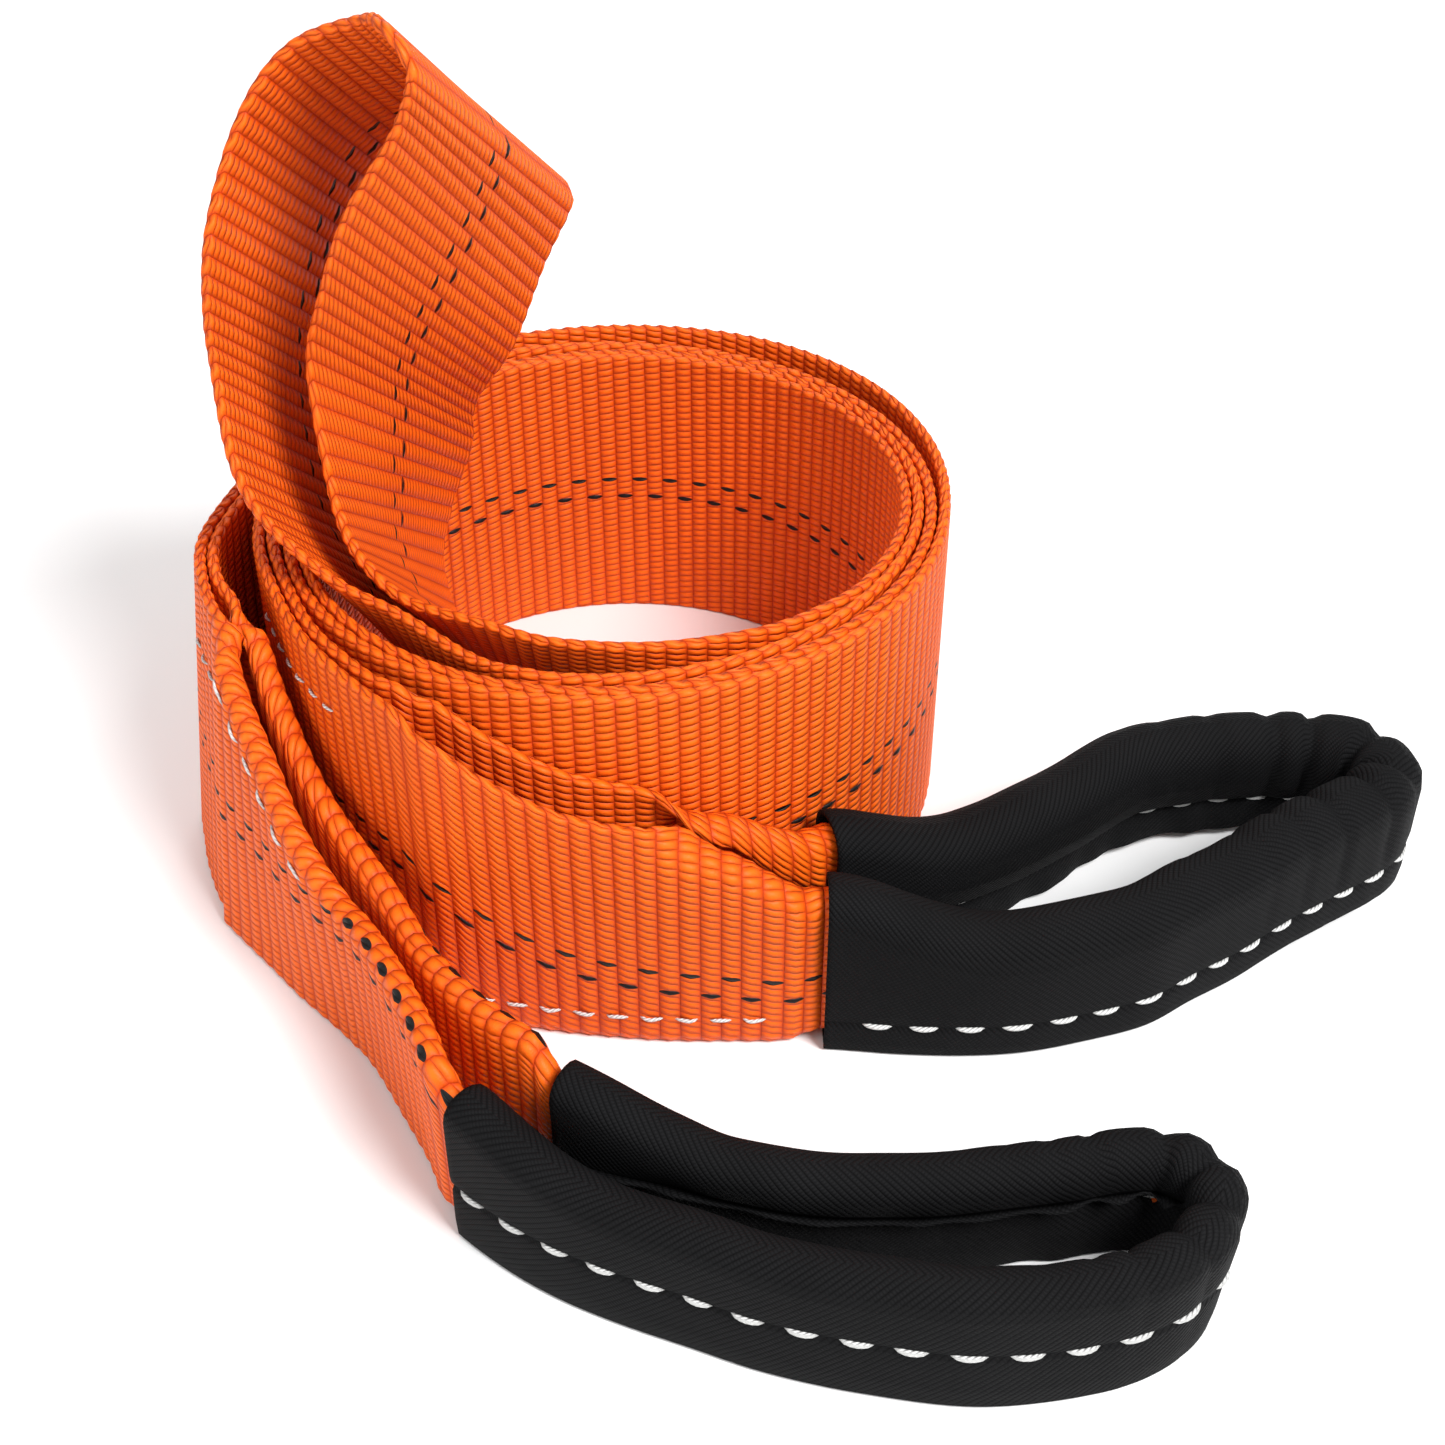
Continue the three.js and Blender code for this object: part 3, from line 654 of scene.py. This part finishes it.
# the outline round a sleeve, from its outer foot over the roll to its inner foot: height, depth, and
# how far each place gives way to gathers. Depth is negative on the outer side
def sleeveOutline(height, depth, seam, innerSeam, flap, deep):
    half = depth / 2
    inner = half - 0.4 + (flap - depth + 0.4) * deep
    zero = np.zeros_like(height)
    crown = height - half * 0.95
    outline = [
        (zero + 0.0, -half + 1.5, 0.1), (zero + 0.5, -half + 0.5, 0.1), (seam * 0.35, -half + 0.25, 0.1),
        (seam * 0.7, -half + 0.25, 0.1), (seam - 1.0, -half + 0.35, 0.1), (seam, -half + 0.8, 0.1),
        (seam + 1.1, -half + 0.3, 0.15), (seam + 3.0, -half + 0.05, 0.2),
        (seam + (crown - seam) * 0.55, -half, 0.3), (crown, -half, 0.4),
    ]
    for angle in (22, 45, 68, 90, 112, 135, 158):
        turn = math.radians(angle)
        outline.append((crown + half * 0.95 * math.sin(turn) ** 0.9, -half * math.cos(turn),
                        0.4 + angle / 300))
    outline += [
        (crown, half, 1.0),
        (innerSeam + (crown - innerSeam) * 0.6, half - 0.3, 1.0),
        (innerSeam + 3.0, inner + (half - inner) * 0.62, 0.9),
        (innerSeam + 1.1, inner + (half - inner) * 0.28, 0.7),
        (innerSeam, inner - 0.3 * deep, 0.4), (innerSeam - 1.0, inner + 0.3, 0.5),
        (innerSeam * 0.7, inner + 0.35, 0.7), (innerSeam * 0.35, inner + 0.3, 0.9),
        (zero + 0.5, inner, 0.9), (zero, inner - 0.9, 0.8),
    ]
    ups = np.column_stack([up + zero for up, _, _ in outline])
    depths = np.column_stack([place + zero for _, place, _ in outline])
    return ups, depths, np.array([give for _, _, give in outline])


# the same outline moved inwards by the cloth's wall
def insetOutline(ups, depths, wall):
    stepUp = np.roll(ups, -1, axis=1) - np.roll(ups, 1, axis=1)
    stepIn = np.roll(depths, -1, axis=1) - np.roll(depths, 1, axis=1)
    length = np.hypot(stepUp, stepIn)
    return ups - stepIn / length * wall, depths + stepUp / length * wall


seams = {
    "dash": 6.0,
    "pitch": 9.2,
    "thread": 1.2,        # thickness of the thread across
    "stand": 0.85,        # how far the middle of a stitch stands over the cloth
    "sunk": 0.25,         # how far its ends go into it
    "tip": 0.35,          # thickness of its ends as a share of the middle's
    "sides": 6,
    "rings": 7,
}

# how far the creases reach from the bend, how far apart and how deep they are
gathers = {
    "sleeve_a": {"spread": 38.0, "wavelength": 11.5, "depth": 3.9},
    "sleeve_b": {"spread": 26.0, "wavelength": 9.0, "depth": 3.1},
}


def sleevePlaces(name):
    start, end = runSpan(name)
    own = np.flatnonzero((rowAlong >= start) & (rowAlong <= end))
    inside = np.minimum(rowAlong[own] - start, end - rowAlong[own])
    return own, inside


def sleeveRings(name):
    form, gather = sleeves[name], gathers[name]
    own, inside = sleevePlaces(name)
    height, depth = sleeveSize(name, inside)
    deep = smooth((inside - 2) / sleeveCloth["mouthRun"])
    seam = np.full_like(height, form["seamHeight"])
    innerSeam = np.full_like(height, form["innerSeamHeight"])
    ups, depths, give = sleeveOutline(height, depth, seam, innerSeam, form["flapDepth"], deep)
    depths = depths + (form["centre"] * deep)[:, None]
    innerUps, innerDepths = insetOutline(ups, depths, sleeveCloth["wall"])
    gone = rowAlong[own] - rowAlong[own][0]
    farthest = gone[rows["foot"][own, 0].argmax()]
    near = np.exp(-((gone - farthest) / gather["spread"]) ** 2)
    uneven = gone + 2.2 * drift(gone, 31.0, 1.7)
    fold = (0.5 + 0.5 * np.cos(2 * np.pi * uneven / gather["wavelength"])) ** 3
    settled = np.minimum(1, inside / sleeveCloth["settle"])
    sag = gather["depth"] * near * fold * settled
    sway = sleeveCloth["sway"] * drift(gone, sleeveCloth["swayLength"], 0.6) * settled
    flutter = np.zeros_like(ups)
    wavy = form["flutter"] * drift(gone, sleeveCloth["flutterLength"], 1.1) * settled
    flutter[:, innerSeamPlace + 2:] = wavy[:, None] * np.array([0.4, 0.8, 1.0, 1.0])
    rings = []
    for up, into in ((ups, depths), (innerUps, innerDepths)):
        centreUp = (height * 0.55)[:, None]
        pull = sag[:, None] * give[None, :]
        reachUp, reachIn = up - centreUp, into
        length = np.hypot(reachUp, reachIn) + 1e-6
        upMoved = up - np.maximum(reachUp, 0) / length * pull + sway[:, None] * (up / height[:, None])
        inMoved = into - reachIn / length * pull + flutter
        rings.append((upMoved, inMoved))
    placed = []
    for upMoved, inMoved in rings:
        ring = (rows["foot"][own][:, None, :] + rows["up"][own][:, None, :] * upMoved[:, :, None]
                + rows["across"][own][:, None, :] * (inMoved * rows["side"][own][:, None])[:, :, None])
        placed.append(ring)
    shift = (rows["foot"][own, 2] - placed[0][:, :, 2].min(axis=1)) / rows["up"][own, 2]
    placed = [ring + rows["up"][own][:, None, :] * shift[:, None, None] for ring in placed]
    for ring in placed:
        ring[:, :, 2] = np.maximum(ring[:, :, 2], 0.0)
    steps = np.hypot(np.diff(ups, axis=1), np.diff(depths, axis=1))
    girth = np.hstack([np.zeros((len(own), 1)), np.cumsum(steps, axis=1)])
    girth = girth - girth[:, crownPlace:crownPlace + 1]
    uv = np.stack([np.repeat(gone[:, None], girth.shape[1], 1), girth], axis=-1)
    return placed[0] + routeShift, placed[1] + routeShift, uv, gone


def makeSleeve(name):
    outer, inner, uv, gone = sleeveRings(name)
    rowCount, around = outer.shape[:2]
    points = np.vstack([outer.reshape(-1, 3), inner.reshape(-1, 3)])
    inside = rowCount * around
    outerWalls = ringWalls(rowCount, around)
    innerWalls = ringWalls(rowCount, around, inside, flipped=True)
    place = np.arange(around)
    ahead = (place + 1) % around
    last = (rowCount - 1) * around
    mouths = [np.column_stack([ahead, place, inside + place, inside + ahead]),
              np.column_stack([last + place, last + ahead, inside + last + ahead, inside + last + place])]
    faceSets = [outerWalls, innerWalls] + mouths
    allUv = np.vstack([uv.reshape(-1, 2), uv.reshape(-1, 2)])
    piece = makePiece(name + "_cloth", points, faceSets, allUv, blackMaterial)
    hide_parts(name)
    return piece, outer, gone


# stitches along a line that lies on the cloth: each is a thread that dives in at both ends
def makeStitches(name, line, normals, gone, dash, pitch, thread):
    sides, rings, tip = seams["sides"], seams["rings"], seams["tip"]
    points, uv, faceSets = [], [], []
    centre = pitch / 2
    while centre + dash / 2 < gone[-1]:
        first = len(points)
        for ring in range(rings):
            share = ring / (rings - 1)
            at = centre + (share - 0.5) * dash
            middle = np.array([np.interp(at, gone, line[:, axis]) for axis in range(3)])
            ahead = np.array([np.interp(at + 0.5, gone, line[:, axis]) for axis in range(3)])
            out = np.array([np.interp(at, gone, normals[:, axis]) for axis in range(3)])
            forward = ahead - middle
            forward /= np.linalg.norm(forward) + 1e-9
            across = np.cross(forward, out)
            across /= np.linalg.norm(across) + 1e-9
            out = np.cross(across, forward)
            bulge = math.sin(math.pi * share)
            radius = thread / 2 * (tip + (1 - tip) * bulge ** 0.5)
            lift = seams["stand"] * bulge ** 0.6 - seams["sunk"]
            middle = middle + out * lift * min(1.0, thread)
            for side in range(sides):
                turn = 2 * math.pi * side / sides
                points.append(middle + radius * (math.cos(turn) * out + math.sin(turn) * across))
                uv.append((at, thread * 1.57 * side / sides * 2))
        faceSets.append(ringWalls(rings, sides, first))
        faceSets.append(np.array([[first + side for side in range(sides)]])[:, ::-1])
        lastRing = first + (rings - 1) * sides
        faceSets.append(np.array([[lastRing + side for side in range(sides)]]))
        centre += pitch
    walls = np.vstack([face for face in faceSets if face.shape[1] == 4])
    caps = np.vstack([face for face in faceSets if face.shape[1] == sides])
    return makePiece(name, np.array(points), [walls, caps], np.array(uv), threadMaterial)


# the direction out of the sleeve's outer side, or of its inner one, level with the floor
def outwardNormals(name, isInner):
    own, _ = sleevePlaces(name)
    return rows["across"][own] * (rows["side"][own] * (1.0 if isInner else -1.0))[:, None]


# the raw edge of the cloth, which stands out over the seam inside the eye: a thin wavy strip
edgeStrip = {"reach": 3.0, "wall": 0.7, "rise": 0.55, "wave": 0.9}


def makeEdgeStrip(name, line, normals, gone):
    wavy = 1 + 0.35 * drift(gone, 23.0, 2.2)
    farthest = gone[line[:, 0].argmax()]
    bunched = np.exp(-((gone - farthest) / 30.0) ** 2)
    sway = edgeStrip["wave"] * (0.35 * drift(gone, 29.0, 0.3) + 2.0 * bunched * np.sin(gone * 0.55))
    out = unit(normals + np.array([0.0, 0.0, 1.0]) * edgeStrip["rise"])
    rise = unit(np.cross(np.gradient(line, axis=0), out))
    reach = (edgeStrip["reach"] * wavy * smooth(gone / 10) * smooth((gone[-1] - gone) / 10))[:, None]
    half = edgeStrip["wall"] / 2
    tip = line + out * reach + rise * sway[:, None]
    foot = line - out * 0.6
    middle = line + out * reach * 0.55 + rise * sway[:, None] * 0.35
    ring = np.stack([foot + rise * half, middle + rise * half, tip + rise * half * 0.6,
                     tip - rise * half * 0.6, middle - rise * half, foot - rise * half], axis=1)
    rowCount, around = ring.shape[:2]
    last = (rowCount - 1) * around
    caps = np.array([[5, 4, 3, 2, 1, 0], [last + place for place in range(around)]])
    uv = np.stack([np.repeat(gone[:, None], around, 1),
                   np.tile(np.arange(around) * 1.1, (rowCount, 1))], axis=-1)
    return makePiece(name, ring.reshape(-1, 3), [ringWalls(rowCount, around), caps], uv.reshape(-1, 2),
                     blackMaterial)


for sleeveName in sleeves:
    cloth, outerRings, sleeveGone = makeSleeve(sleeveName)
    for seamName, place in (("outer", outerSeamPlace), ("inner", innerSeamPlace)):
        makeStitches(
            "%s_%s_seam" % (sleeveName, seamName), outerRings[:, place],
            outwardNormals(sleeveName, seamName == "inner"),
            sleeveGone, seams["dash"], seams["pitch"], seams["thread"])
    if sleeveName == "sleeve_b":
        place = innerSeamPlace - 1
        makeEdgeStrip(
            "sleeve_b_edge", outerRings[:, place], outwardNormals(sleeveName, True), sleeveGone)
    print("%s made: %d faces, %.0f mm long" % (sleeveName, len(cloth.data.polygons), sleeveGone[-1]))


webbingSeams = {
    # name: from and to as run and station, height over the lower edge or below the upper one if negative,
    # then the length, spacing and thickness of its stitches
    "eye_a_flap_seam": ((3, 0), (3, 6), 7.6, 4.8, 7.0, 0.85),
    "eye_a_tail_seam": ((3, 8), (4, 0), -5.0, 4.2, 6.4, 0.65),
    "eye_b_tail_seam": ((7, 3), (7, 7), -3.5, 4.5, 6.8, 0.7),
    "eye_b_side_seam": ((7, 1), (7, 3), -9.0, 4.5, 6.8, 0.7),
}


def makeWebbingSeam(name, start, end, height, dash, pitch, thread):
    low, high = stationPlace(*start), stationPlace(*end)
    own = np.flatnonzero((rowAlong >= low) & (rowAlong <= high))
    side = rows["side"][own[0]]
    # columns of the webbing's outer face, from its lower end to its upper end
    columns = range(24, 29) if side > 0 else range(10, 5, -1)
    line = []
    for row in own:
        face = webbingRing[row, list(columns)]
        heights = face[:, 2] - webbingRing[row, :, 2].min()
        target = height if height > 0 else heights[-1] + height
        line.append([np.interp(target, heights, face[:, axis]) for axis in range(3)])
    normals = -rows["across"][own] * rows["side"][own][:, None]
    gone = rowAlong[own] - rowAlong[own[0]]
    return makeStitches(name, np.array(line), normals, gone, dash, pitch, thread)


seamPieces = [makeWebbingSeam(name, *values) for name, values in webbingSeams.items()]
print("webbing seams made: %d" % len(seamPieces))


studio = {
    "floor": (0.93, 0.93, 0.93),
    "floorSize": 12.0,
    "floorDrop": 0.0003,
    "roughness": 0.9,
    "specular": 0.1,
    "worldStrength": 0.43,
    "lights": [
        ("key", (0.60, -0.65, 1.00), 0.55, 24.0),
        ("fill", (-0.9, -0.65, 0.65), 0.9, 6.0),
        ("rear", (-0.1, 0.9, 0.9), 0.8, 5.0),
    ],
    "aim": (0.0, 0.0, 0.06),
}


def makeStudio():
    bpy.ops.object.select_all(action="DESELECT")
    bpy.ops.mesh.primitive_plane_add(size=studio["floorSize"], location=(0, 0, -studio["floorDrop"]))
    floor = bpy.context.active_object
    floor.name = "floor"
    floor.data.transform(floor.matrix_world)
    floor.matrix_world.identity()
    recipe = Recipe("pale_floor")
    recipe.shader.inputs["Base Color"].default_value = (*studio["floor"], 1.0)
    recipe.finish(studio)
    floor.data.materials.append(recipe.material)
    world = bpy.data.worlds.new("studio")
    world.use_nodes = True
    background = world.node_tree.nodes["Background"]
    background.inputs[0].default_value = (1.0, 1.0, 1.0, 1.0)
    background.inputs[1].default_value = studio["worldStrength"]
    bpy.context.scene.world = world
    bpy.context.scene.view_settings.view_transform = "Standard"
    for name, place, size, power in studio["lights"]:
        data = bpy.data.lights.new(name, "AREA")
        data.shape = "DISK"
        data.size = size
        data.energy = power
        light = bpy.data.objects.new(name, data)
        light.location = place
        aim = Vector(studio["aim"]) - Vector(place)
        light.rotation_euler = aim.to_track_quat("-Z", "Y").to_euler()
        bpy.context.scene.collection.objects.link(light)


view = {"place": (-0.01614, -0.34507, 0.2965), "pitchDown": 36.0, "lens": 48.87}


def makeCamera():
    data = bpy.data.cameras.new("camera")
    data.sensor_width = 36.0
    data.sensor_fit = "HORIZONTAL"
    data.lens = view["lens"]
    data.clip_start = 0.01
    camera = bpy.data.objects.new("camera", data)
    camera.location = view["place"]
    camera.rotation_euler = (math.radians(90 - view["pitchDown"]), 0, 0)
    bpy.context.scene.collection.objects.link(camera)
    bpy.context.scene.camera = camera


makeStudio()
makeCamera()
print("studio made")
